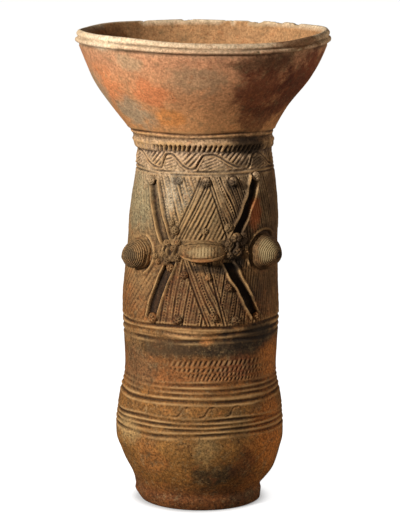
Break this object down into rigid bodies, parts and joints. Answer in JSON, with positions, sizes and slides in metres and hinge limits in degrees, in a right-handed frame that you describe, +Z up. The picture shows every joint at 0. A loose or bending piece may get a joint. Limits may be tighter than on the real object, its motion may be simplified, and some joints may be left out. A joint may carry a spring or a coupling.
{
  "type": "pedestal vase",
  "caption": "Hollow fired-clay vase with a low foot, swelling belly, tall incised shaft with applied bosses and pellets, and a wide flaring bowl.",
  "frame": {"origin": "on the ground below the middle of the mouth, at the vase's underside", "axes": "+Z up, from the foot to the mouth; the decorated front, with the crossed troughs and the eye-shaped boss, faces -Y"},
  "size_m": [0.24, 0.24, 0.45],
  "materials": {
    "fired_clay": "low-fired clay, burnished orange-red on the bowl, mottled grey and brown on the shaft, with soot and worn edges"
  },
  "bodies": {
    "root": {"vase": "fired_clay"}
  },
  "joints": []
}
